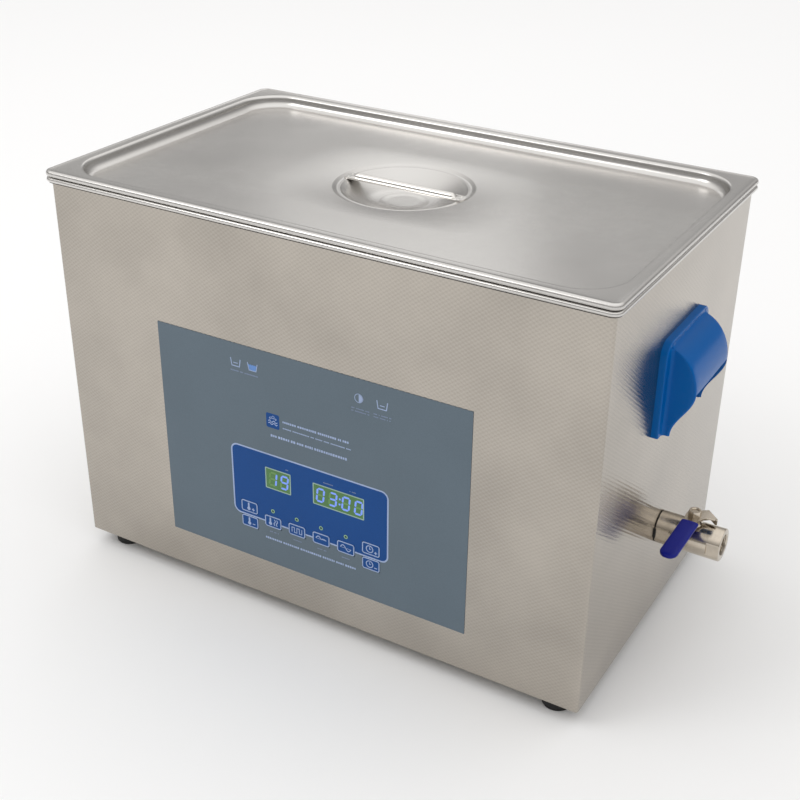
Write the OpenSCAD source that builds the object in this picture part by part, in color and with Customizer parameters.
// Bench-top ultrasonic cleaner: a pressed tank in a folded stainless casing, with a lift-off lid,
// a ball-valve drain, two cup handles, a control panel and a generator that drives ten transducers.
// +X is the drain side, +Y is the rear, +Z is up. The feet stand on z = 0.

/* [Casing] */
// Width of the casing across its side walls
case_w = 521; // [470:1:640]
// Depth of the casing from front wall to rear panel
case_d = 310; // [300:1:380]
// Height of the casing walls
case_h = 356.5; // [340:0.5:430]
// Thickness of the casing sheet
sheet_t = 1.2; // [0.8:0.1:1.5]
// Outside radius of the folded casing corners
case_bend_r = 2.5; // [2:0.5:5]
// Width of the folded flanges that carry the bottom plate and the rear panel
flange_w = 14; // [10:1:18]
// Gap between the edges of sheets that meet
sheet_gap = 0.2; // [0.1:0.1:0.5]
// Radius of the casing screws
case_screw_r = 2; // [1.5:0.5:2.5]
// Height of a casing screw's head
case_head_h = 2.2; // [1.6:0.1:3]

/* [Feet] */
// Height of the rubber feet
foot_h = 16; // [10:1:30]
// Diameter of the rubber feet
foot_d = 28; // [20:1:40]
// Distance from the side wall to a foot's centre
foot_inset_x = 27; // [22:1:50]
// Distance from the front wall or the rear panel to a foot's centre
foot_inset_y = 22; // [20:1:50]
// Radius of the screws that hold the feet
foot_screw_r = 2.5; // [2:0.5:3]

/* [Tank] */
// Thickness of the tank sheet
tank_t = 1; // [0.8:0.1:1.5]
// Air gap between the tank and a side wall
tank_gap_x = 4.8; // [4:0.1:15]
// Air gap between the tank and the front wall or the rear panel
tank_gap_y = 3.3; // [3:0.1:15]
// Depth of the tank below its rim
tank_depth = 200; // [150:1:205]
// Plan radius of the tank's corners
tank_r = 41; // [35:1:60]
// Radius between the tank's wall and floor
tank_floor_r = 20; // [8:1:30]
// Radius of the tank's mouth
mouth_r = 3; // [2:0.5:5]
// Overhang of the rim past a side wall
rim_over_x = 4.5; // [4.4:0.1:10]
// Overhang of the rim past the front wall or the rear panel
rim_over_y = 6; // [5:0.5:12]
// Plan radius of the rim's corners
rim_r = 9; // [6:1:20]
// Diameter of the rolled edge round the rim
rim_bead = 4.2; // [3:0.2:5]
// Height of the seal between casing and rim
gasket_h = 3.5; // [3.3:0.1:6]
// Width of the seal between casing and rim
gasket_w = 1.8; // [1.4:0.1:1.9]

/* [Lid] */
// Gap between the lid's edge and the rim
lid_gap = 0.4; // [0.3:0.1:1]
// Diameter of the rolled edge round the lid
lid_bead = 5.6; // [4:0.2:6]
// Depth of the lid's well
well_depth = 10.6; // [8:0.2:20]
// Gap between the lid's well and the tank's mouth
well_gap = 1.5; // [1:0.1:3]
// Radius of the bends at the well's edge and floor
well_bend_r = 3; // [2:0.5:4]
// How far the rolled edges stand proud of their flanges
bead_proud = 0.4; // [0.2:0.1:0.8]
// Radius of the hand recess in the lid
dish_r = 54; // [40:1:60]
// Depth of the hand recess below the lid's floor
dish_depth = 15; // [12:1:25]
// Radius of the flat at the bottom of the hand recess
dish_flat_r = 20; // [10:1:30]
// Radius of the step round the hand recess
dish_rim_r = 61; // [58:1:70]
// Depth of the step round the hand recess
dish_step = 2; // [1.5:0.5:3]
// Length of the lid's grip bar
grip_len = 119; // [112:1:121]
// Width of the lid's grip bar
grip_w = 13; // [10:1:16]
// Thickness of the lid's grip bar
grip_t = 1.5; // [1:0.1:2]
// Radius of the rolled rib along the grip bar
grip_rib_r = 3.2; // [2.5:0.1:4]
// Length of the rolled rib along the grip bar
grip_rib_len = 95; // [80:1:100]

/* [Drain] */
// Height of the drain's axis above the casing's bottom edge
drain_z = 91.5; // [70:0.5:110]
// Distance of the drain's axis behind the middle of the casing
drain_y = 6.5; // [-30:0.5:30]
// Distance from the tank's inside wall to the middle of the drain hole
drain_inset = 38.5; // [35:0.5:60]
// Outside radius of the drain pipe
pipe_r = 9.2; // [8:0.1:9.2]
// Wall of the drain pipe
pipe_t = 1.6; // [1:0.1:2]
// Radius of the drain pipe's elbow, at the middle of the pipe
elbow_r = 22; // [20:1:24]
// How far the drain pipe screws into the valve
pipe_grip = 11; // [8:1:12]
// Thickness of the seal between casing and valve
drain_seal_t = 1.5; // [1:0.1:3]

/* [Valve] */
// Length of the valve body
valve_len = 56.5; // [54:0.5:80]
// Outside radius of the valve body
valve_r = 14.75; // [14:0.25:20]
// Half distance across the spanner flats of the valve body
valve_flat = 13.4; // [12.5:0.1:14]
// Length of the spanner flats
valve_flat_len = 11; // [8:0.5:14]
// Radius inside the threads of the valve's two ends
valve_thread_r = 9.3; // [9.3:0.1:10]
// Depth of the valve's threads
valve_thread_len = 13.25; // [12:0.25:14]
// Radius of the valve's ball
ball_r = 7.6; // [7:0.1:7.8]
// Radius of the passage through the ball
port_r = 4.6; // [3.5:0.1:5]
// Radius of the valve's stem
stem_r = 3; // [2.5:0.1:3.5]
// Height of the stem boss above the round of the valve body
boss_h = 4.45; // [2.25:0.05:10.25]
// Radius of the stem boss
boss_r = 6.5; // [6:0.1:8]
// Thickness of the lever plate
lever_t = 2; // [1.5:0.1:3]
// Width of the lever inside its sleeve
lever_w = 11; // [8:0.5:12]
// Length of the lever from the stem's axis to the end of the sleeve
lever_len = 70.5; // [60:0.5:90]
// Width of the lever's sleeve
sleeve_w = 15.4; // [14:0.2:18]
// Thickness of the lever's sleeve
sleeve_t = 4.4; // [4:0.2:6]
// Distance from the stem's axis to the start of the sleeve
sleeve_start = 11.5; // [10:0.5:20]
// Distance across the flats of the lever nut
nut_flats = 10; // [8:0.5:13]
// Height of the lever nut
nut_h = 5; // [4:0.5:6]

/* [Handles] */
// Width of a handle's flange
handle_w = 98; // [90:1:120]
// Height of a handle's flange
handle_h = 83.5; // [80:0.5:100]
// Thickness of a handle's flange
handle_t = 6; // [5:0.5:8]
// Height of the flange's bottom edge above the casing's bottom edge
handle_z = 208.5; // [190:0.5:250]
// Radius of the flange's upper corners
handle_corner_r = 12; // [5:1:20]
// Reach of the hood from the casing's side
hood_reach = 29.5; // [26:0.5:40]
// Width of the hood across its cheeks
hood_w = 80; // [70:1:86]
// Wall thickness of the hood
hood_t = 3; // [2:0.5:4]
// Height of the hood's dome above its lip
hood_dome_h = 37; // [30:1:40]
// Height of the hood's lip above the flange's bottom edge
hood_lip_z = 41.5; // [38:0.5:44]
// Reach of the cheeks at the flange's bottom edge
cheek_foot = 12; // [9:0.5:16]
// Radius of the handle screws
handle_screw_r = 2.5; // [2:0.5:3]

/* [Control panel] */
// Width of the front graphic sheet
label_w = 308; // [280:1:340]
// Height of the front graphic sheet
label_h = 213; // [180:1:240]
// Height of the graphic sheet's bottom edge above the casing's bottom edge
label_z = 38; // [30:1:60]
// Thickness of the front graphic sheet
label_t = 0.5; // [0.3:0.1:0.8]
// Distance of the panel's middle from the casing's middle
panel_x = -1; // [-40:1:40]
// Height of the middle keys' centres above the casing's bottom edge
key_z = 83; // [75:0.5:100]
// Height of a display's centre above the middle keys' centres
display_up = 45.3; // [40:0.1:55]
// Height of an indicator's centre above the middle keys' centres
led_up = 11.5; // [11:0.5:20]
// Pitch of the keys across the panel
key_pitch = 25.4; // [23:0.1:30]
// Half the vertical pitch of the outer keys
key_pair = 7.8; // [7.6:0.1:10]
// Width of a key
key_w = 17.5; // [14:0.5:19]
// Height of a key
key_h = 11.6; // [9:0.2:12]
// Travel of a key
key_travel = 0.6; // [0.3:0.1:1]
// Running gap round each moving key
key_gap = 0.3; // [0.3:0.05:0.5]
// How far the keys stand proud of the graphic sheet
key_proud = 0.4; // [0.2:0.1:1]
// Width of the temperature display
temp_w = 25.6; // [20:0.2:30]
// Width of the timer display
timer_w = 50.4; // [40:0.2:55]
// Height of both displays
display_h = 20; // [14:0.5:22]
// Distance of the temperature display's centre from the panel's middle
temp_x = -31.2; // [-35:0.1:-25]
// Distance of the timer display's centre from the panel's middle
timer_x = 31; // [28:0.1:35]
// Radius of an indicator
led_r = 1.5; // [1:0.1:2]
// Distance of the control board behind the front of the casing
board_back = 10; // [8:0.5:16]
// Thickness of the circuit boards
board_t = 1.6; // [1:0.1:2]

/* [Transducers] */
// Number of transducers along the tank
transducer_cols = 5; // [3:1:5]
// Distance from the tank's side to the outer transducers' centres
transducer_margin_x = 69; // [50:1:90]
// Distance from the tank's front or rear to a transducer's centre
transducer_margin_y = 87.5; // [60:0.5:95]
// Diameter of a transducer's front mass at the tank
horn_d = 45; // [40:1:50]
// Diameter of the piezo rings and the back mass
ring_d = 38; // [30:1:40]
// Height of a transducer's front mass
horn_h = 22; // [15:1:25]
// Thickness of a piezo ring
ring_h = 5; // [4:0.5:7]
// Height of a transducer's back mass
back_h = 18; // [12:1:22]

/* [Fan] */
// Size of the square fan
fan_size = 80; // [60:1:92]
// Thickness of the fan
fan_t = 25; // [20:1:30]
// Distance of the fan from the casing's middle, towards the left
fan_x = 120; // [80:1:160]
// Height of the fan's axis above the casing's bottom edge
fan_z = 62; // [58:1:80]
// Number of fan blades
blades = 7; // [5:1:9]

/* [Mains] */
// Distance of the mains inlet from the casing's middle
inlet_x = 185; // [160:1:200]
// Distance of the rocker switch from the mains inlet
switch_off = 45; // [36:1:60]
// Height of the mains inlet's centre above the casing's bottom edge
inlet_z = 62; // [50:1:80]
// Tilt of the rocker each way from the middle
rocker_tilt = 12; // [8:1:14]

/* [Hidden] */
$fn = 64;

// Colours
steel = [0.72, 0.70, 0.67];
bright = [0.80, 0.79, 0.77];
handle_blue = [0.0, 0.33, 0.68];
sleeve_blue = [0.08, 0.12, 0.5];
label_grey = [0.41, 0.47, 0.51];
panel_blue = [0.1, 0.29, 0.53];
dark = [0.08, 0.08, 0.08];
board_green = [0.1, 0.35, 0.2];

// Overlap that makes a cut run through a face
cut = 1;

// Levels
base_z = foot_h;
plate_top = base_z + sheet_t;
case_top = base_z + case_h;
rim_under = case_top + gasket_h;
rim_top = rim_under + tank_t + bead_proud;
tank_flange = rim_top - bead_proud;
lid_top = rim_top + lid_gap + lid_bead;
lid_flange = lid_top - bead_proud;
well_floor = lid_flange - well_depth;
tank_floor = tank_flange - tank_depth;
tank_under = tank_floor - tank_t;

// Outlines
inner_w = case_w - 2 * sheet_t;
inner_d = case_d - 2 * sheet_t;
panel_w = inner_w - 2 * sheet_gap;
panel_d = inner_d - 2 * sheet_gap;
rim_w = case_w + 2 * rim_over_x;
rim_d = case_d + 2 * rim_over_y;
tank_w = inner_w - 2 * (tank_gap_x + tank_t);
tank_d = inner_d - 2 * (tank_gap_y + tank_t);
well_w = tank_w - 2 * well_gap;
well_d = tank_d - 2 * well_gap;
well_r = tank_r - well_gap;
front_y = -case_d / 2;
rear_y = case_d / 2;
side_x = case_w / 2;

// Drain and valve
axis_z = base_z + drain_z;
drain_x = tank_w / 2 - drain_inset;
valve_x = side_x + drain_seal_t;
stem_x = valve_x + valve_len / 2;
ball_gap = 0.1;
seat_len = 11;
seat_t = 6;
retainer_t = 4;
chamber_r = valve_thread_r - 0.2;
fit_gap = 0.05;
stem_gap = 0.08;
packing_t = 3.4;
packing_gap = 0.3;
boss_top = valve_r + boss_h;
lever_z = axis_z + boss_top + packing_gap;
stop_clear = 0.85;
stop_drop = boss_h + packing_gap - stop_clear;

// The part's middle lies half-way between the valve's mouth and the left handle
reach_right = valve_x + valve_len;
reach_left = side_x + hood_reach;
middle_x = (reach_right - reach_left) / 2;

// Control panel
row_z = base_z + key_z;
overlay_y = front_y - label_t;
board_y = front_y + board_back;
led_row = row_z + led_up;
display_z = row_z + display_up;
key_lip = 1;
tact_h = 4;
tact_w = 6;
window_w = 6 * key_pitch + 2;
window_low = row_z - key_pair - key_h / 2 - 2 * key_lip;
window_high = display_z + display_h / 2 + 3;
board_w = window_w + 20;
board_low = window_low - 8;
board_high = window_high + 8;
post_r = 3;
post_x = window_w / 2 + 5;

// Transducers
horn_z = tank_under - horn_h;
ring_z = horn_z - 2 * ring_h;
back_z = ring_z - back_h;
bolt_r = 5;
bolt_head_h = 8;
wire_r = 1.2;
wire_z = horn_z - ring_h;
wire_bend_r = 5;

// Boards on the bottom plate
gen_x = 20;
gen_y = -10;
gen_w = 220;
gen_d = 130;
gen_post = 8;
gen_z = plate_top + gen_post;
gen_top = gen_z + board_t;

// Rear
fan_cx = -fan_x;
fan_cz = base_z + fan_z;
fan_bore = fan_size / 2 - 2;
fan_in_y = rear_y - sheet_t - fan_t;
fan_hole = fan_size / 2 - 4.25;
guard_wire = 1;
main_z = base_z + inlet_z;
switch_x = inlet_x - switch_off;
bezel_t = 2;
socket_w = 24.6;
socket_h = 16.6;
socket_deep = 17;
socket_up = 7;
drawer_w = 22;
drawer_h = 8;
drawer_down = 11;
inlet_w = 27;
inlet_body_h = 37;
inlet_body_t = 26;
rocker_w = 15;
rocker_half = 11;
rocker_y = rear_y - 4;
hatch_w = 20;
hatch_h = 28;
rocker_axle_r = 1.5;

// Moves a piece from the casing's middle to the part's own middle
module at_body() {
    translate([-middle_x, 0, 0]) children();
}

// A copy on each side of the casing
module both_sides() {
    for (side = [0, 1]) mirror([side, 0, 0]) children();
}

// Rectangle with rounded corners, centred
module rounded_area(w, d, r) {
    square([w - 2 * r, d], center = true);
    square([w, d - 2 * r], center = true);
    for (x = [-1, 1], y = [-1, 1])
        translate([x * (w / 2 - r), y * (d / 2 - r)]) circle(r = r);
}

// Plate with rounded corners, standing on z
module rounded_plate(w, d, r, z, h) {
    translate([0, 0, z]) linear_extrude(h) rounded_area(w, d, r);
}

// Carries a profile round a rounded rectangle: x is outward from the path and y is up
module around(w, d, r) {
    for (i = [0 : 3]) {
        a = i % 2 == 0 ? w : d;
        b = i % 2 == 0 ? d : w;
        rotate(90 * i) {
            translate([a / 2, b / 2 - r, 0]) rotate([90, 0, 0])
                linear_extrude(b - 2 * r) children();
            translate([a / 2 - r, b / 2 - r, 0])
                rotate_extrude(angle = 90) translate([r, 0]) children();
        }
    }
}

// Quarter ring of sheet: q = 0 is right and up, then counter-clockwise
module bend(x, y, r, t, q) {
    translate([x, y]) intersection() {
        difference() {
            circle(r = r);
            circle(r = r - t);
        }
        rotate(90 * q) square(r + cut);
    }
}

// Straight round rod between two points
module rod(a, b, r) {
    v = b - a;
    length = norm(v);
    translate(a) rotate([0, acos(v[2] / length), atan2(v[1], v[0])]) cylinder(r = r, h = length, $fn = 24);
}

// Quarter bend of a wire at a corner, from one direction to another at right angles to it
module wire_bend(corner, before, after, r) {
    middle = corner + (after - before) * wire_bend_r;
    normal = cross(before, after);
    multmatrix([
        [-after[0], before[0], normal[0], middle[0]],
        [-after[1], before[1], normal[1], middle[1]],
        [-after[2], before[2], normal[2], middle[2]],
        [0, 0, 0, 1]
    ]) rotate_extrude(angle = 90) translate([wire_bend_r, 0]) circle(r = r, $fn = 24);
}

// Wire that runs through a list of points, bent at its corners
module wire(points, r) {
    last = len(points) - 2;
    along = [for (i = [0 : last]) (points[i + 1] - points[i]) / norm(points[i + 1] - points[i])];
    for (i = [0 : last])
        rod(points[i] + along[i] * (i == 0 ? 0 : wire_bend_r),
            points[i + 1] - along[i] * (i == last ? 0 : wire_bend_r), r);
    for (i = [0 : last - 1]) wire_bend(points[i + 1], along[i], along[i + 1], r);
}

// Button-head screw whose shank points along -z from a face at z = 0
module screw(r, shank, head_h) {
    translate([0, 0, -shank]) cylinder(r = r - fit_gap, h = shank, $fn = 32);
    difference() {
        cylinder(r1 = 2 * r, r2 = 1.5 * r, h = head_h, $fn = 32);
        translate([0, 0, head_h / 2]) cylinder(r = 0.7 * r, h = head_h, $fn = 6);
    }
}

// ---- Casing ----

handle_mid_z = base_z + handle_z + handle_h / 2;
handle_hole_y = (handle_w + hood_w - 2 * hood_t) / 4;
handle_hole_z = handle_h / 2 - 12;
wrap_hole_z = [base_z + 40, base_z + case_h / 2, case_top - 40];
plate_hole_x = [-case_w / 2 + 90, 0, case_w / 2 - 90];

module handle_holes() {
    for (y = [-1, 1], z = [-1, 1])
        translate([0, y * handle_hole_y, handle_mid_z + z * handle_hole_z]) rotate([0, 90, 0]) children();
}

module foot_places() {
    for (x = [-1, 1], y = [-1, 1])
        translate([x * (case_w / 2 - foot_inset_x), y * (case_d / 2 - foot_inset_y), 0]) children();
}

// Screws that hold the rear panel to the casing's rear flanges
module rear_screw_places() {
    for (x = [-1, 1], z = wrap_hole_z)
        translate([x * (inner_w / 2 - flange_w / 2), rear_y, z]) rotate([-90, 0, 0]) children();
}

// Screws that hold the bottom plate to the flanges of the casing and of the rear panel
module bottom_screw_places() {
    for (x = plate_hole_x, y = [-1, 1])
        translate([x, y * (inner_d / 2 - flange_w / 2), base_z]) rotate([180, 0, 0]) children();
    for (x = [-1, 1])
        translate([x * (inner_w / 2 - flange_w / 2), 0, base_z]) rotate([180, 0, 0]) children();
}

module fan_screw_places() {
    for (x = [-1, 1], z = [-1, 1])
        translate([fan_cx + x * fan_hole, rear_y, fan_cz + z * fan_hole]) rotate([-90, 0, 0]) children();
}

// Front and both side walls, folded from one sheet, with inward flanges
module casing_wrap() color(steel) at_body() difference() {
    union() {
        difference() {
            rounded_plate(case_w, case_d, case_bend_r, base_z, case_h);
            rounded_plate(inner_w, inner_d, case_bend_r - sheet_t, base_z - cut, case_h + 2 * cut);
            translate([-inner_w / 2, rear_y - case_bend_r, base_z - cut])
                cube([inner_w, case_bend_r + cut, case_h + 2 * cut]);
        }
        difference() {
            translate([-inner_w / 2, -inner_d / 2, plate_top])
                cube([inner_w, inner_d - flange_w - sheet_gap, sheet_t]);
            translate([-inner_w / 2 + flange_w, -inner_d / 2 + flange_w, plate_top - cut])
                cube([inner_w - 2 * flange_w, inner_d, sheet_t + 2 * cut]);
        }
        for (x = [-inner_w / 2, inner_w / 2 - flange_w])
            translate([x, rear_y - 2 * sheet_t, plate_top + 2 * sheet_t + sheet_gap])
                cube([flange_w, sheet_t, case_h - 6 * sheet_t]);
    }
    translate([panel_x - window_w / 2, front_y - cut, window_low])
        cube([window_w, sheet_t + 2 * cut, window_high - window_low]);
    translate([0, drain_y, axis_z]) rotate([0, 90, 0]) cylinder(r = pipe_r + 1, h = case_w);
    both_sides() translate([inner_w / 2 - cut, 0, 0]) handle_holes()
        cylinder(r = handle_screw_r, h = sheet_t + 2 * cut);
    rear_screw_places() translate([0, 0, -3 * sheet_t]) cylinder(r = case_screw_r, h = 3 * sheet_t);
    bottom_screw_places() translate([0, 0, -3 * sheet_t]) cylinder(r = case_screw_r, h = 3 * sheet_t);
}

// Rear wall with a return flange, and the openings for the fan, the inlet and the switch
module rear_panel() color(steel) at_body() difference() {
    union() {
        translate([-panel_w / 2, rear_y - sheet_t, base_z]) cube([panel_w, sheet_t, case_h]);
        translate([-inner_w / 2 + flange_w + sheet_gap, inner_d / 2 - flange_w, plate_top])
            cube([inner_w - 2 * flange_w - 2 * sheet_gap, flange_w, sheet_t]);
    }
    translate([fan_cx, rear_y + cut, fan_cz]) rotate([90, 0, 0])
        cylinder(r = fan_bore, h = sheet_t + 2 * cut);
    fan_screw_places() translate([0, 0, -2 * sheet_t]) cylinder(r = case_screw_r, h = 3 * sheet_t);
    rear_screw_places() translate([0, 0, -2 * sheet_t]) cylinder(r = case_screw_r, h = 3 * sheet_t);
    bottom_screw_places() translate([0, 0, -3 * sheet_t]) cylinder(r = case_screw_r, h = 3 * sheet_t);
    translate([inlet_x - inlet_w / 2, rear_y - 2 * sheet_t, main_z - inlet_body_h / 2])
        cube([inlet_w, 3 * sheet_t, inlet_body_h]);
    translate([switch_x - hatch_w / 2, rear_y - 2 * sheet_t, main_z - hatch_h / 2])
        cube([hatch_w, 3 * sheet_t, hatch_h]);
}

vent_cols = 14;
vent_pitch = 12;
vent_w = 4;
vent_len = 44;

// Flat bottom with ventilation slots under the generator
module bottom_plate() color(steel) at_body() difference() {
    translate([-panel_w / 2, -panel_d / 2, base_z]) cube([panel_w, panel_d, sheet_t]);
    foot_places() translate([0, 0, base_z - cut]) cylinder(r = foot_screw_r, h = sheet_t + 2 * cut);
    bottom_screw_places() translate([0, 0, -3 * sheet_t]) cylinder(r = case_screw_r, h = 4 * sheet_t);
    for (i = [0 : vent_cols - 1], y = [-1, 1])
        translate([gen_x + (i - (vent_cols - 1) / 2) * vent_pitch - vent_w / 2,
                   gen_y + y * 30 - vent_len / 2, base_z - cut])
            cube([vent_w, vent_len, sheet_t + 2 * cut]);
}

foot_recess_r = 8;
foot_web = 5;

// Four round rubber feet with a recess for the screw's head
module feet() color(dark) at_body() foot_places() difference() {
    cylinder(r1 = foot_d / 2 - 1, r2 = foot_d / 2, h = foot_h);
    translate([0, 0, -cut]) cylinder(r = foot_recess_r, h = foot_h - foot_web + cut);
    cylinder(r = foot_screw_r, h = foot_h + cut);
}

foot_screw_len = foot_web + sheet_t + 6;
foot_head_h = 3;

// Foot screws, each with its nut on the bottom plate
module foot_screws() color(bright) at_body() foot_places() {
    translate([0, 0, foot_h - foot_web]) rotate([180, 0, 0])
        screw(foot_screw_r, foot_screw_len, foot_head_h);
    translate([0, 0, plate_top]) difference() {
        cylinder(r = 2 * foot_screw_r, h = 4, $fn = 6);
        translate([0, 0, -cut]) cylinder(r = foot_screw_r, h = 4 + 2 * cut);
    }
}

case_screw_len = 8;

// Button-head screws of the rear panel, the bottom plate and the fan
module case_screws() color(bright) at_body() {
    rear_screw_places() screw(case_screw_r, case_screw_len, case_head_h);
    bottom_screw_places() screw(case_screw_r, case_screw_len, case_head_h);
    fan_screw_places() translate([0, 0, 2 * guard_wire]) screw(case_screw_r, fan_t / 2, case_head_h);
}

// ---- Tank ----

wall_drop = tank_depth - mouth_r - tank_floor_r;
rim_path_w = rim_w - rim_bead;
rim_path_d = rim_d - rim_bead;
rim_path_r = rim_r - rim_bead / 2;

// Deep-drawn tank with a rolled rim and a drain hole
module tank() color(steel) at_body() difference() {
    union() {
        translate([0, 0, tank_flange]) around(tank_w, tank_d, tank_r) {
            bend(mouth_r, -mouth_r, mouth_r, tank_t, 1);
            translate([0, -mouth_r - wall_drop]) square([tank_t, wall_drop]);
            bend(-tank_floor_r, -mouth_r - wall_drop, tank_floor_r + tank_t, tank_t, 3);
        }
        rounded_plate(tank_w - 2 * tank_floor_r, tank_d - 2 * tank_floor_r, tank_r - tank_floor_r,
                      tank_under, tank_t);
        difference() {
            rounded_plate(rim_path_w, rim_path_d, rim_path_r, rim_under, tank_t);
            rounded_plate(tank_w + 2 * mouth_r, tank_d + 2 * mouth_r, tank_r + mouth_r,
                          rim_under - cut, tank_t + 2 * cut);
        }
        translate([0, 0, rim_top - rim_bead / 2])
            around(rim_path_w, rim_path_d, rim_path_r) circle(d = rim_bead, $fn = 32);
    }
    translate([drain_x, drain_y, tank_under - cut]) cylinder(r = pipe_r, h = tank_t + 2 * cut);
}

gasket_out_w = case_w - sheet_t;
gasket_out_d = case_d - sheet_t;
gasket_r = rim_r - rim_bead;

// Rubber seal between the casing's upper edge and the tank's rim, inside the rolled edge
module rim_gasket() color(dark) at_body() difference() {
    rounded_plate(gasket_out_w, gasket_out_d, gasket_r, case_top, gasket_h);
    rounded_plate(gasket_out_w - 2 * gasket_w, gasket_out_d - 2 * gasket_w, gasket_r - gasket_w,
                  case_top - cut, gasket_h + 2 * cut);
}

// ---- Lid ----

well_drop = well_depth - 2 * well_bend_r;
floor_in = well_bend_r + tank_t;
lid_path_w = rim_w - lid_bead;
lid_path_d = rim_d - lid_bead;
lid_path_r = rim_r - lid_bead / 2;
flange_in = well_bend_r - tank_t;
bowl_z = well_floor - dish_step;
bowl_h = dish_depth - dish_step;
bowl_steps = 12;

// Height of the bowl's upper face below its edge at distance u, from 0 at the edge to 1 at the flat
function bowl_fall(u) = bowl_h * sin(90 * u);

// The bowl's section: upper face inwards, then lower face outwards
function bowl_points(drop) = [
    for (i = [0 : bowl_steps])
        let (u = i / bowl_steps)
            [dish_r - u * (dish_r - dish_flat_r) - drop * (1 - u), -bowl_fall(u) - drop]
];
function reversed(v) = [for (i = [len(v) - 1 : -1 : 0]) v[i]];

// Pressed lid with a rolled edge, a shallow well and a round hand recess
module lid() color(steel) at_body() {
    translate([0, 0, lid_top - lid_bead / 2])
        around(lid_path_w, lid_path_d, lid_path_r) circle(d = lid_bead, $fn = 32);
    difference() {
        rounded_plate(lid_path_w, lid_path_d, lid_path_r, lid_flange - tank_t, tank_t);
        rounded_plate(well_w + 2 * flange_in, well_d + 2 * flange_in, well_r + flange_in,
                      lid_flange - tank_t - cut, tank_t + 2 * cut);
    }
    translate([0, 0, lid_flange]) around(well_w, well_d, well_r) {
        bend(flange_in, -well_bend_r, well_bend_r, tank_t, 1);
        translate([-tank_t, -well_bend_r - well_drop]) square([tank_t, well_drop]);
        bend(-floor_in, -well_bend_r - well_drop, well_bend_r + tank_t, tank_t, 3);
    }
    difference() {
        rounded_plate(well_w - 2 * floor_in, well_d - 2 * floor_in, well_r - floor_in,
                      well_floor - tank_t, tank_t);
        translate([0, 0, well_floor - tank_t - cut]) cylinder(r = dish_rim_r, h = tank_t + 2 * cut);
    }
    translate([0, 0, well_floor]) rotate_extrude() {
        translate([dish_rim_r - tank_t, -dish_step - tank_t]) square([tank_t, dish_step + tank_t]);
        translate([dish_r - tank_t, -dish_step - tank_t]) square([dish_rim_r - dish_r, tank_t]);
    }
    translate([0, 0, bowl_z]) rotate_extrude() polygon(concat(
        bowl_points(0), [[0, -bowl_h], [0, -bowl_h - tank_t]], reversed(bowl_points(tank_t))
    ));
}

// Flat bar with a rolled rib, spot-welded over the lid's hand recess
module lid_handle() color(bright) at_body() translate([0, 0, bowl_z]) {
    translate([-grip_len / 2, -grip_w / 2, 0]) cube([grip_len, grip_w, grip_t]);
    intersection() {
        translate([-grip_rib_len / 2, 0, grip_t]) rotate([0, 90, 0])
            cylinder(r = grip_rib_r, h = grip_rib_len);
        translate([-grip_len / 2, -grip_rib_r - cut, grip_t / 2])
            cube([grip_len, 2 * (grip_rib_r + cut), grip_rib_r + grip_t]);
    }
}

// ---- Handles ----

hood_steps = 16;
hood_z = base_z + handle_z + hood_lip_z;

// Point on the hood's dome at parameter a, for a reach and a height
function dome(a, reach, rise) = [reach * cos(a), rise * sin(a)];
function dome_start(reach) = acos(handle_t / reach);

// Outer edge of a cheek below the lip: an S from the lip's reach to the foot's reach
cheek_outer = [
    for (i = [0 : hood_steps])
        let (t = i / hood_steps)
            [hood_reach + (cheek_foot - hood_reach) * (1 - cos(180 * t)) / 2, -hood_lip_z * t]
];
dome_outer = [
    for (i = [hood_steps : -1 : 0]) dome(i * dome_start(hood_reach) / hood_steps, hood_reach, hood_dome_h)
];
dome_inner = [
    for (i = [0 : hood_steps])
        dome(i * dome_start(hood_reach - hood_t) / hood_steps, hood_reach - hood_t, hood_dome_h - hood_t)
];

// Extrudes an outline of (reach, height) across the casing's side, centred
module across(width) {
    translate([0, width / 2, 0]) rotate([90, 0, 0]) linear_extrude(width) children();
}

// Cup handle: a flange with a hood that is open downwards
module cup_handle() {
    finger_w = hood_w - 2 * hood_t;
    finger_top = hood_lip_z + hood_dome_h - 2 * hood_t;
    translate([side_x, 0, base_z + handle_z]) difference() {
        union() {
            translate([0, -handle_w / 2, 0]) cube([handle_t, handle_w, handle_h - handle_corner_r]);
            translate([0, -handle_w / 2 + handle_corner_r, 0])
                cube([handle_t, handle_w - 2 * handle_corner_r, handle_h]);
            for (y = [-1, 1])
                translate([0, y * (handle_w / 2 - handle_corner_r), handle_h - handle_corner_r])
                    rotate([0, 90, 0]) cylinder(r = handle_corner_r, h = handle_t);
        }
        translate([-cut, -finger_w / 2, -cut]) cube([handle_t + 2 * cut, finger_w, finger_top + cut]);
    }
    translate([side_x, 0, hood_z]) {
        across(hood_w) polygon(concat(dome_outer, dome_inner));
        for (y = [-1, 1]) translate([0, y * (hood_w - hood_t) / 2, 0]) across(hood_t)
            polygon(concat([[handle_t, -hood_lip_z]], dome_outer, cheek_outer));
    }
}

module cup_handle_drilled() {
    difference() {
        cup_handle();
        translate([side_x - cut, 0, 0]) handle_holes() cylinder(r = handle_screw_r, h = handle_t - 1 + cut);
    }
}

module handle_right() color(handle_blue) at_body() cup_handle_drilled();

module handle_left() color(handle_blue) at_body() mirror([1, 0, 0]) cup_handle_drilled();

// Screws that hold the handles from inside the casing
module handle_screws() color(bright) at_body() both_sides()
    translate([side_x - sheet_t, 0, 0]) handle_holes()
        mirror([0, 0, 1]) screw(handle_screw_r, sheet_t + handle_t - 2, 2);

// ---- Drain and valve ----

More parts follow.
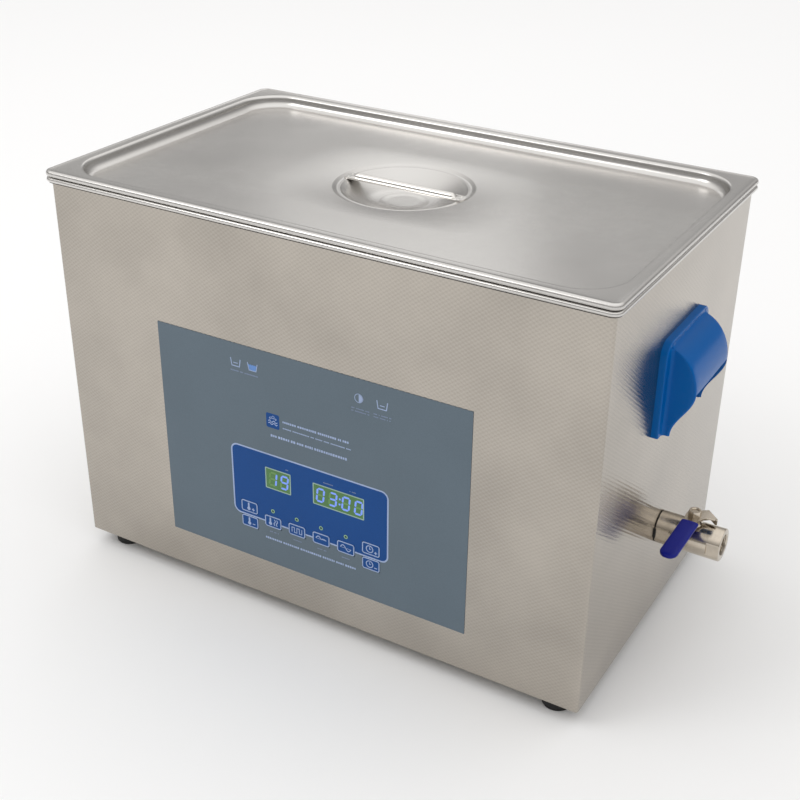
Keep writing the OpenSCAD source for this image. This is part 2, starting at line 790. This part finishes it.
module pipe_run(r) {
    translate([drain_x, drain_y, axis_z + elbow_r]) cylinder(r = r, h = tank_floor - axis_z - elbow_r);
    translate([drain_x + elbow_r, drain_y, axis_z + elbow_r]) rotate([90, 0, 0])
        rotate([0, 0, 180]) rotate_extrude(angle = 90) translate([elbow_r, 0]) circle(r = r);
    translate([drain_x + elbow_r, drain_y, axis_z]) rotate([0, 90, 0])
        cylinder(r = r, h = valve_x + pipe_grip - drain_x - elbow_r);
}

// Welded drain pipe from the tank's floor, through an elbow, to the valve
module drain_pipe() color(bright) at_body() difference() {
    union() {
        pipe_run(pipe_r);
        translate([drain_x, drain_y, tank_under - 3]) cylinder(r = pipe_r + 5, h = 3);
    }
    pipe_run(pipe_r - pipe_t);
}

// Places what is made along the valve's axis from the casing's side
module on_axis(x) {
    translate([x, drain_y, axis_z]) rotate([0, 90, 0]) children();
}

// Seal ring between the casing and the valve
module drain_seal() color(dark) at_body() on_axis(side_x) difference() {
    cylinder(r = valve_r - 0.4, h = drain_seal_t);
    translate([0, 0, -cut]) cylinder(r = pipe_r + 0.3, h = drain_seal_t + 2 * cut);
}

// One-piece valve body with spanner flats, two threaded ends and a stem boss
module valve_body() color(bright) at_body() difference() {
    union() {
        on_axis(valve_x) cylinder(r = valve_r, h = valve_len);
        translate([stem_x, drain_y, axis_z]) cylinder(r = boss_r, h = boss_top);
    }
    for (x = [valve_x - cut, valve_x + valve_len - valve_flat_len], y = [-1, 1])
        translate([x, drain_y + y * (valve_flat + valve_r) - valve_r, axis_z - valve_r - cut])
            cube([valve_flat_len + cut, 2 * valve_r, 2 * (valve_r + cut)]);
    on_axis(valve_x - cut) cylinder(r = valve_thread_r, h = valve_thread_len + cut);
    on_axis(valve_x) cylinder(r = port_r, h = valve_len);
    on_axis(stem_x - seat_len) cylinder(r = chamber_r, h = valve_len / 2);
    on_axis(valve_x + valve_len - valve_thread_len) cylinder(r = valve_thread_r, h = valve_thread_len + cut);
    translate([stem_x, drain_y, axis_z]) cylinder(r = stem_r + stem_gap, h = boss_top + cut);
    translate([stem_x, drain_y, axis_z + boss_top - packing_t]) cylinder(r = stem_r + 2, h = packing_t + cut);
}

// Two ball seats and the stem's packing ring
module valve_seals() color("white") at_body() {
    for (side = [0, 1]) translate([stem_x, drain_y, axis_z]) mirror([side, 0, 0]) rotate([0, 90, 0])
        difference() {
            translate([0, 0, seat_len - seat_t]) cylinder(r = chamber_r - fit_gap, h = seat_t);
            cylinder(r = port_r, h = seat_len + cut);
            sphere(r = ball_r + ball_gap);
        }
    translate([stem_x, drain_y, axis_z + boss_top - packing_t]) difference() {
        cylinder(r = stem_r + 2 - fit_gap, h = packing_t - packing_gap);
        translate([0, 0, -cut]) cylinder(r = stem_r + stem_gap, h = packing_t + 2 * cut);
    }
}

// Ring that screws in behind the outer seat
module valve_retainer() color(bright) at_body() on_axis(stem_x + seat_len) difference() {
    cylinder(r = chamber_r - fit_gap, h = retainer_t);
    translate([0, 0, -cut]) cylinder(r = port_r + 0.8, h = retainer_t + 2 * cut);
}

tang_w = 3;
tang_len = 6;
tang_z = 5;
tang_h = 3.5;
stem_sunk = 1;

// Ball with its passage across the flow, as it is when the valve is shut
module valve_ball() color(bright) at_body() translate([stem_x, drain_y, axis_z]) difference() {
    sphere(r = ball_r);
    translate([0, ball_r + cut, 0]) rotate([90, 0, 0]) cylinder(r = port_r, h = 2 * (ball_r + cut));
    translate([-tang_w / 2 - fit_gap, -ball_r, tang_z]) cube([tang_w + 2 * fit_gap, 2 * ball_r, ball_r]);
}

// Stem from the ball's slot to the lever nut
module valve_stem() color(bright) at_body() translate([stem_x, drain_y, axis_z]) {
    translate([-tang_w / 2, -tang_len / 2, tang_z + fit_gap]) cube([tang_w, tang_len, tang_h]);
    translate([0, 0, ball_r + ball_gap])
        cylinder(r = stem_r, h = lever_z + lever_t + nut_h - stem_sunk - axis_z - ball_r - ball_gap);
}

stop_arm = [[5.5, -sleeve_start], [6.2, -6.5], [8.5, -2], [12.6, 1.4], [19.4, 3.5],
            [8.2, 14], [0, 8.2], [-4, 6.8], [-7, 3.2], [-7.4, -3], [-5.5, -sleeve_start]];
stop_tab_t = 1.6;
stop_edge = stop_arm[5] - stop_arm[4];
sleeve_cap = 4;

// Lever with a stop arm whose end is bent down
module lever_plate() color(bright) at_body() translate([stem_x, drain_y, lever_z]) difference() {
    union() {
        translate([-lever_w / 2, sleeve_cap - lever_len, 0])
            cube([lever_w, lever_len - sleeve_cap - sleeve_start / 2, lever_t]);
        linear_extrude(lever_t) polygon(stop_arm);
        translate([stop_arm[5][0], stop_arm[5][1], -stop_drop])
            rotate(atan2(-stop_edge[1], -stop_edge[0])) translate([0, -stop_tab_t, 0])
                cube([norm(stop_edge), stop_tab_t, stop_drop + lever_t]);
    }
    translate([0, 0, -cut]) cylinder(r = stem_r + fit_gap, h = lever_t + 2 * cut);
}

// Soft sleeve over the lever, with a round end
module lever_sleeve() color(sleeve_blue) at_body()
    translate([stem_x, drain_y, lever_z + lever_t / 2 - sleeve_t / 2]) difference() {
        union() {
            translate([-sleeve_w / 2, sleeve_w / 2 - lever_len, 0])
                cube([sleeve_w, lever_len - sleeve_w / 2 - sleeve_start, sleeve_t]);
            translate([0, sleeve_w / 2 - lever_len, 0]) cylinder(r = sleeve_w / 2, h = sleeve_t);
        }
        translate([-lever_w / 2 - fit_gap, sleeve_cap - lever_len - fit_gap,
                   (sleeve_t - lever_t) / 2 - fit_gap])
            cube([lever_w + 2 * fit_gap, lever_len, lever_t + 2 * fit_gap]);
    }

// Hexagon nut on the stem
module lever_nut() color(bright) at_body() translate([stem_x, drain_y, lever_z + lever_t]) difference() {
    cylinder(r = nut_flats / sqrt(3), h = nut_h, $fn = 6);
    translate([0, 0, -cut]) cylinder(r = stem_r + fit_gap, h = nut_h + 2 * cut);
}

// ---- Control panel ----

// Middle of column i of the keys, from 0 at the left to 5 at the right
function key_x(i) = panel_x + (i - 2.5) * key_pitch;

// Places of the eight keys as [column, height above the middle row]
key_places = [[0, key_pair], [0, -key_pair], [1, 0], [2, 0], [3, 0], [4, 0], [5, key_pair], [5, -key_pair]];

module at_key(i) {
    translate([key_x(key_places[i][0]), 0, row_z + key_places[i][1]]) children();
}

// Block that stands between two depths, centred in width and height
module slab(w, h, y0, y1) {
    translate([-w / 2, y0, -h / 2]) cube([w, y1 - y0, h]);
}

module display_places() {
    translate([panel_x + temp_x, 0, display_z]) slab(temp_w + $grow, display_h + $grow, $y0, $y1);
    translate([panel_x + timer_x, 0, display_z]) slab(timer_w + $grow, display_h + $grow, $y0, $y1);
}

module led_places() {
    for (i = [1 : 4]) translate([key_x(i), 0, led_row]) rotate([-90, 0, 0]) children();
}

// Printed front sheet with openings for the keys, displays and indicators
module graphic_overlay() color(label_grey) at_body() difference() {
    translate([-label_w / 2, overlay_y, base_z + label_z]) cube([label_w, label_t, label_h]);
    for (i = [0 : 7]) at_key(i)
        slab(key_w + 2 * key_gap, key_h + 2 * key_gap, overlay_y - cut, front_y + cut);
    display_places($grow = 0, $y0 = overlay_y - cut, $y1 = front_y + cut);
    led_places() translate([0, 0, overlay_y - cut]) cylinder(r = led_r + key_gap, h = label_t + 2 * cut);
}

window_t = 1.4;

// Green filter windows of the two displays
module display_windows() color([0.2, 0.45, 0.2]) at_body()
    display_places($grow = -2 * fit_gap, $y0 = overlay_y, $y1 = overlay_y + window_t);

// Seven-segment display modules on the control board
module display_modules() color(dark) at_body()
    display_places($grow = -1, $y0 = overlay_y + window_t + fit_gap, $y1 = board_y);

// Four round indicator lamps on the control board
module indicator_leds() color([0.3, 0.5, 0.3]) at_body() led_places()
    translate([0, 0, overlay_y + 0.2]) cylinder(r = led_r, h = board_y - overlay_y - 0.2);

module control_board() color(board_green) at_body() difference() {
    translate([panel_x - board_w / 2, board_y, board_low]) cube([board_w, board_t, board_high - board_low]);
    board_posts(board_y - cut, board_y + board_t + cut, 1.5);
}

module tact_switches() color(dark) at_body() for (i = [0 : 7]) at_key(i) {
    slab(tact_w, tact_w, board_y - tact_h + 1, board_y);
    rotate([-90, 0, 0]) translate([0, 0, board_y - tact_h]) cylinder(r = 1.7, h = 1.5, $fn = 32);
}

module board_posts(y0, y1, r) {
    for (x = [-1, 1], z = [board_low + 4, board_high - 4])
        translate([panel_x + x * post_x, y0, z]) rotate([-90, 0, 0]) cylinder(r = r, h = y1 - y0, $fn = 32);
}

module gen_posts(z0, z1, r) {
    for (x = [-1, 1], y = [-1, 1])
        translate([gen_x + x * (gen_w / 2 - 6), gen_y + y * (gen_d / 2 - 6), z0])
            cylinder(r = r, h = z1 - z0, $fn = 32);
}

// Posts that carry the control board and the generator board, with their studs
module board_standoffs() color(bright) at_body() {
    board_posts(front_y + sheet_t, board_y, post_r);
    board_posts(board_y, board_y + board_t + 1, 1.5 - fit_gap);
    gen_posts(plate_top, gen_z, post_r);
    gen_posts(gen_z, gen_top + 1, 1.5 - fit_gap);
}

// Key i: a cap, a lip behind the graphic sheet and a stub over its switch
module key(i) {
    tip_y = board_y - tact_h - key_travel - key_gap;
    color(panel_blue) at_body() at_key(i) {
        slab(key_w, key_h, overlay_y - key_proud, front_y + key_gap + 2 * key_lip);
        slab(key_w + 2 * key_lip, key_h + 2 * key_lip, front_y + key_gap, front_y + key_gap + key_lip);
        slab(4, 4, front_y + key_gap + key_lip, tip_y);
    }
}

module key_temp_up() key(0);
module key_temp_down() key(1);
module key_heating() key(2);
module key_degas() key(3);
module key_half_wave() key(4);
module key_full_wave() key(5);
module key_time_up() key(6);
module key_time_down() key(7);

// ---- Generator ----

module generator_board() color(board_green) at_body() difference() {
    translate([gen_x - gen_w / 2, gen_y - gen_d / 2, gen_z]) cube([gen_w, gen_d, board_t]);
    gen_posts(gen_z - cut, gen_top + cut, 1.5);
}

sink_w = 120;
sink_back_t = 6;
fins = 7;
fin_pitch = 6;
fin_d = 24;
fin_t = 2;

// Finned heatsink of the power transistors
module heatsink() color([0.6, 0.6, 0.62]) at_body()
    translate([gen_x + 10 - sink_w / 2, gen_y + 18, gen_top]) {
        cube([sink_w, sink_back_t, fins * fin_pitch - fin_t]);
        for (i = [0 : fins - 1])
            translate([0, sink_back_t, (i + 0.25) * fin_pitch]) cube([sink_w, fin_d, fin_t]);
    }

core_w = 50;
core_d = 24;
core_h = 42;
limb_w = 8;
core_slot = 10;
coil_r = 16;
coil_gap = 0.5;

// Output transformer: a core with its winding on the middle limb
module transformer() color([0.35, 0.3, 0.25]) at_body() translate([gen_x - 70, gen_y - 20, gen_top]) {
    mid_w = core_w - 2 * (limb_w + core_slot);
    coil_h = core_h - 2 * (limb_w + coil_gap);
    difference() {
        translate([-core_w / 2, -core_d / 2, 0]) cube([core_w, core_d, core_h]);
        for (x = [-mid_w / 2 - core_slot, mid_w / 2]) translate([x, -core_d / 2 - cut, limb_w])
            cube([core_slot, core_d + 2 * cut, core_h - 2 * limb_w]);
    }
    translate([0, 0, limb_w + coil_gap]) difference() {
        cylinder(r = coil_r, h = coil_h);
        translate([-mid_w / 2, -core_d / 2, -cut]) cube([mid_w, core_d, coil_h + 2 * cut]);
    }
}

cap_r = 12.5;
cap_h = 40;
cap_pitch = 30;

// Three upright capacitors in front of the transformer's coil
module capacitors() color([0.2, 0.2, 0.3]) at_body() for (i = [0 : 2])
    translate([gen_x - 10 + i * cap_pitch, gen_y - 35, gen_top]) cylinder(r = cap_r, h = cap_h);

// ---- Transducers ----

col_step = (tank_w - 2 * transducer_margin_x) / (transducer_cols - 1);

module transducer_places() {
    for (i = [0 : transducer_cols - 1], y = [-1, 1])
        translate([i * col_step - tank_w / 2 + transducer_margin_x, y * (tank_d / 2 - transducer_margin_y)])
            children();
}

// Conical aluminium front masses, bonded to the tank's floor
module transducer_horns() color(bright) at_body() transducer_places() difference() {
    translate([0, 0, horn_z]) cylinder(r1 = ring_d / 2, r2 = horn_d / 2, h = horn_h);
    translate([0, 0, horn_z - cut]) cylinder(r = bolt_r, h = horn_h - 4 + cut);
}

// Two piezo rings for each transducer
module piezo_rings() color([0.3, 0.3, 0.32]) at_body() transducer_places()
    for (z = [ring_z, ring_z + ring_h]) translate([0, 0, z]) difference() {
        cylinder(r = ring_d / 2, h = ring_h - fit_gap);
        translate([0, 0, -cut]) cylinder(r = bolt_r + 1, h = ring_h + 2 * cut);
    }

// Steel back masses
module transducer_backs() color(steel) at_body() transducer_places() difference() {
    translate([0, 0, back_z]) cylinder(r = ring_d / 2, h = back_h);
    translate([0, 0, back_z - cut]) cylinder(r = bolt_r + 0.2, h = back_h + 2 * cut);
}

// Bolts that clamp each stack
module transducer_bolts() color(dark) at_body() transducer_places() {
    translate([0, 0, back_z]) cylinder(r = bolt_r - fit_gap, h = back_h + 2 * ring_h + horn_h - 5);
    translate([0, 0, back_z - bolt_head_h]) difference() {
        cylinder(r = 1.6 * bolt_r, h = bolt_head_h);
        translate([0, 0, -cut]) cylinder(r = 0.8 * bolt_r, h = bolt_head_h / 2 + cut, $fn = 6);
    }
}

pad_w = 300;
pad_h = 90;
pad_t = 1.5;

// Flat heaters on the tank's front and rear walls
module heater_pads() color([0.5, 0.2, 0.1]) at_body() for (side = [0, 1]) mirror([0, side, 0])
    translate([-pad_w / 2, tank_d / 2 + tank_t, tank_floor + tank_floor_r + 25]) cube([pad_w, pad_t, pad_h]);

limit_r = 8;
limit_h = 7;
limit_x = -45;
tab_w = 6;
tab_t = 0.8;

// Over-temperature switch under the tank's floor, with its two tabs
module thermostat() color(dark) at_body() translate([limit_x, 0, tank_under - limit_h]) {
    cylinder(r = limit_r, h = limit_h);
    for (x = [-limit_r / 2, limit_r / 2]) translate([x - tab_t / 2, -tab_w / 2, -tab_w])
        cube([tab_t, tab_w, tab_w + cut]);
}

plug_w = 22;
plug_d = 6;
cable_w = 20;
cable_t = 0.8;

// Flat cable from the control board to the generator board, with its two plugs
module ribbon_cable() color([0.7, 0.7, 0.7]) at_body() {
    x = gen_x - 20;
    plug_z = board_low + 12;
    back_y = board_y + board_t;
    gen_plug_y = gen_y - gen_d / 2 + 2;
    cable_y = back_y + 2;
    cable_z = gen_top + plug_d;
    translate([x - plug_w / 2, back_y, plug_z]) cube([plug_w, plug_d, plug_d + 2]);
    translate([x - cable_w / 2, cable_y, cable_z]) {
        cube([cable_w, cable_t, plug_z - cable_z + cut]);
        cube([cable_w, gen_plug_y + plug_d - cable_y, cable_t]);
    }
    translate([x - plug_w / 2, gen_plug_y, gen_top]) cube([plug_w, plug_d, plug_d + cut]);
}

// Leads from the generator board to the piezo rings
module transducer_leads() color("red") at_body() {
    end_x = tank_w / 2 - transducer_margin_x;
    reach_y = tank_d / 2 - transducer_margin_y - ring_d / 2;
    rod([-end_x, 0, wire_z], [end_x, 0, wire_z], wire_r);
    for (i = [0 : transducer_cols - 1]) {
        x = -end_x + i * col_step;
        rod([x, -reach_y, wire_z], [x, reach_y, wire_z], wire_r);
    }
    rod([gen_x + 10, 0, gen_top], [gen_x + 10, 0, wire_z], wire_r);
}

lead_r = 1.6;
switch_deep = 20;

// Mains leads between the inlet, the switch and the generator board
module mains_wiring() color([0.4, 0.2, 0.1]) at_body() {
    tab_y = rear_y + bezel_t - inlet_body_t;
    back_y = rear_y - switch_deep;
    low_z = main_z - 9;
    loop_y = 100;
    run_y = 30;
    drop_x = gen_x + gen_w / 2 - 12;
    for (x = [-6, 6]) wire([
        [inlet_x + x, tab_y, main_z], [inlet_x + x, loop_y + x, main_z],
        [switch_x + x, loop_y + x, main_z], [switch_x + x, back_y, main_z]
    ], lead_r);
    for (x = [-4, 4]) wire([
        [switch_x + x, back_y, low_z], [switch_x + x, run_y + x, low_z],
        [drop_x, run_y + x, low_z], [drop_x, run_y + x, gen_top]
    ], lead_r);
}

// ---- Rear inlet and switch ----

drawer_z = main_z - drawer_down;
drawer_len = 18;
drawer_gap = 0.3;

// Mains inlet with a socket and, below it, a slot for the fuse drawer
module inlet_socket() color(dark) at_body() difference() {
    union() {
        translate([inlet_x, 0, main_z]) slab(inlet_w + 4, inlet_body_h + 4, rear_y, rear_y + bezel_t);
        translate([inlet_x, 0, main_z])
            slab(inlet_w, inlet_body_h, rear_y + bezel_t - inlet_body_t, rear_y + cut);
    }
    translate([inlet_x, 0, main_z + socket_up])
        slab(socket_w, socket_h, rear_y + bezel_t - socket_deep, rear_y + bezel_t + cut);
    translate([inlet_x, 0, drawer_z])
        slab(drawer_w + 2 * drawer_gap, drawer_h + 2 * drawer_gap,
             rear_y + bezel_t - drawer_len - drawer_gap, rear_y + bezel_t + cut);
}

// Three flat pins of the inlet
module inlet_pins() color(bright) at_body() for (p = [[-7, -2], [0, 2], [7, -2]])
    translate([inlet_x + p[0], 0, main_z + socket_up + p[1]])
        slab(2, 4, rear_y + bezel_t - socket_deep, rear_y + bezel_t - 2);

// Drawer that holds the fuse and pulls out to the rear
module fuse_drawer() color(dark) at_body() translate([inlet_x, 0, drawer_z]) difference() {
    slab(drawer_w, drawer_h, rear_y + bezel_t - drawer_len, rear_y + bezel_t + 0.5);
    translate([0, 0, 1]) slab(drawer_w - 4, drawer_h - 1, rear_y - drawer_len + 4, rear_y - 2);
    translate([0, 0, -drawer_h / 2]) slab(drawer_w / 2, 2, rear_y + bezel_t - 0.7, rear_y + bezel_t + cut);
}

// Switch housing with an open front and sockets for the rocker's axle
module switch_frame() color(dark) at_body() translate([switch_x, 0, main_z]) difference() {
    union() {
        slab(hatch_w + 4, hatch_h + 4, rear_y, rear_y + bezel_t);
        slab(hatch_w, hatch_h, rear_y - switch_deep, rear_y + cut);
    }
    slab(rocker_w + 2 * drawer_gap, 2 * rocker_half + 4, rear_y - 15, rear_y + bezel_t + cut);
    translate([-rocker_w / 2 - 1.6, rocker_y, 0]) rotate([0, 90, 0])
        cylinder(r = rocker_axle_r + stem_gap, h = rocker_w + 3.2, $fn = 32);
}

rocker_outline = [[6, -rocker_half], [4.8, 0], [6, rocker_half], [1.5, rocker_half - 0.6], [-3, 5],
                  [-3, -5], [1.5, 0.6 - rocker_half]];

// Rocker, shown tilted to its on position
module switch_rocker() color(dark) at_body() translate([switch_x, rocker_y, main_z]) {
    rotate([rocker_tilt, 0, 0]) translate([-rocker_w / 2, 0, 0])
        rotate([90, 0, 90]) linear_extrude(rocker_w) polygon(rocker_outline);
    translate([-rocker_w / 2 - 1.3, 0, 0]) rotate([0, 90, 0])
        cylinder(r = rocker_axle_r, h = rocker_w + 2.6, $fn = 32);
}

// ---- Fan ----

hub_r = 16;
motor_r = 17;
motor_t = 3;
axle_r = 1.5;
blade_t = 1.2;
blade_pitch = 35;
strut_w = 4;

// Places what is made along the fan's axis, from the fan's inner face to the rear
module on_fan() {
    translate([fan_cx, fan_in_y, fan_cz]) rotate([-90, 0, 0]) children();
}

// Square frame with a motor carrier on four struts
module fan_frame() color(dark) at_body() on_fan() difference() {
    union() {
        difference() {
            translate([-fan_size / 2, -fan_size / 2, 0]) cube([fan_size, fan_size, fan_t]);
            translate([0, 0, -cut]) cylinder(r = fan_bore, h = fan_t + 2 * cut);
        }
        for (a = [45 : 90 : 315]) rotate(a) translate([0, -strut_w / 2, 0])
            cube([fan_bore + 1, strut_w, motor_t]);
        cylinder(r = motor_r, h = motor_t);
        cylinder(r = axle_r, h = fan_t - 6, $fn = 32);
    }
    for (x = [-1, 1], y = [-1, 1])
        translate([x * fan_hole, y * fan_hole, -cut]) cylinder(r = case_screw_r, h = fan_t + 2 * cut);
}

// Hub and blades, turning on the frame's axle
module fan_rotor() color([0.12, 0.12, 0.12]) at_body() on_fan() difference() {
    union() {
        translate([0, 0, motor_t + key_gap]) cylinder(r = hub_r, h = fan_t - motor_t - 3);
        for (i = [0 : blades - 1]) rotate(360 * i / blades) intersection() {
            translate([hub_r - 2, 0, fan_t / 2 + 1]) rotate([blade_pitch, 0, 0])
                translate([0, -14, -blade_t / 2]) cube([fan_bore - hub_r, 28, blade_t]);
            translate([0, 0, motor_t + 1]) cylinder(r = fan_bore - 1, h = fan_t - motor_t - 3);
        }
    }
    translate([0, 0, -cut]) cylinder(r = axle_r + fit_gap, h = fan_t - 5.5 + cut, $fn = 32);
}

eye_r = 4;

module eye_places() {
    for (x = [-1, 1], y = [-1, 1]) translate([x * fan_hole, y * fan_hole, 0]) children();
}

// Finger guard: three wire rings on two crossed wires with screw eyes
module fan_guard() color(bright) at_body()
    translate([fan_cx, rear_y + guard_wire, fan_cz]) rotate([-90, 0, 0]) {
        spoke = fan_hole * sqrt(2);
        for (r = [12, 23, 34]) rotate_extrude() translate([r, 0]) circle(r = guard_wire, $fn = 24);
        difference() {
            union() {
                for (a = [45, 135]) rotate([90, 0, a]) translate([0, 0, -spoke])
                    cylinder(r = 0.9 * guard_wire, h = 2 * spoke, $fn = 24);
                eye_places() translate([0, 0, -guard_wire]) cylinder(r = eye_r, h = 2 * guard_wire);
            }
            eye_places() translate([0, 0, -2 * guard_wire])
                cylinder(r = case_screw_r, h = 4 * guard_wire);
        }
    }

casing_wrap();
rear_panel();
bottom_plate();
feet();
foot_screws();
case_screws();
tank();
rim_gasket();
lid();
lid_handle();
handle_right();
handle_left();
handle_screws();
drain_pipe();
drain_seal();
valve_body();
valve_seals();
valve_retainer();
valve_ball();
valve_stem();
lever_plate();
lever_sleeve();
lever_nut();
graphic_overlay();
display_windows();
display_modules();
indicator_leds();
control_board();
tact_switches();
board_standoffs();
key_temp_up();
key_temp_down();
key_heating();
key_degas();
key_half_wave();
key_full_wave();
key_time_up();
key_time_down();
generator_board();
heatsink();
transformer();
capacitors();
transducer_horns();
piezo_rings();
transducer_backs();
transducer_bolts();
heater_pads();
thermostat();
ribbon_cable();
transducer_leads();
mains_wiring();
inlet_socket();
inlet_pins();
fuse_drawer();
switch_frame();
switch_rocker();
fan_frame();
fan_rotor();
fan_guard();
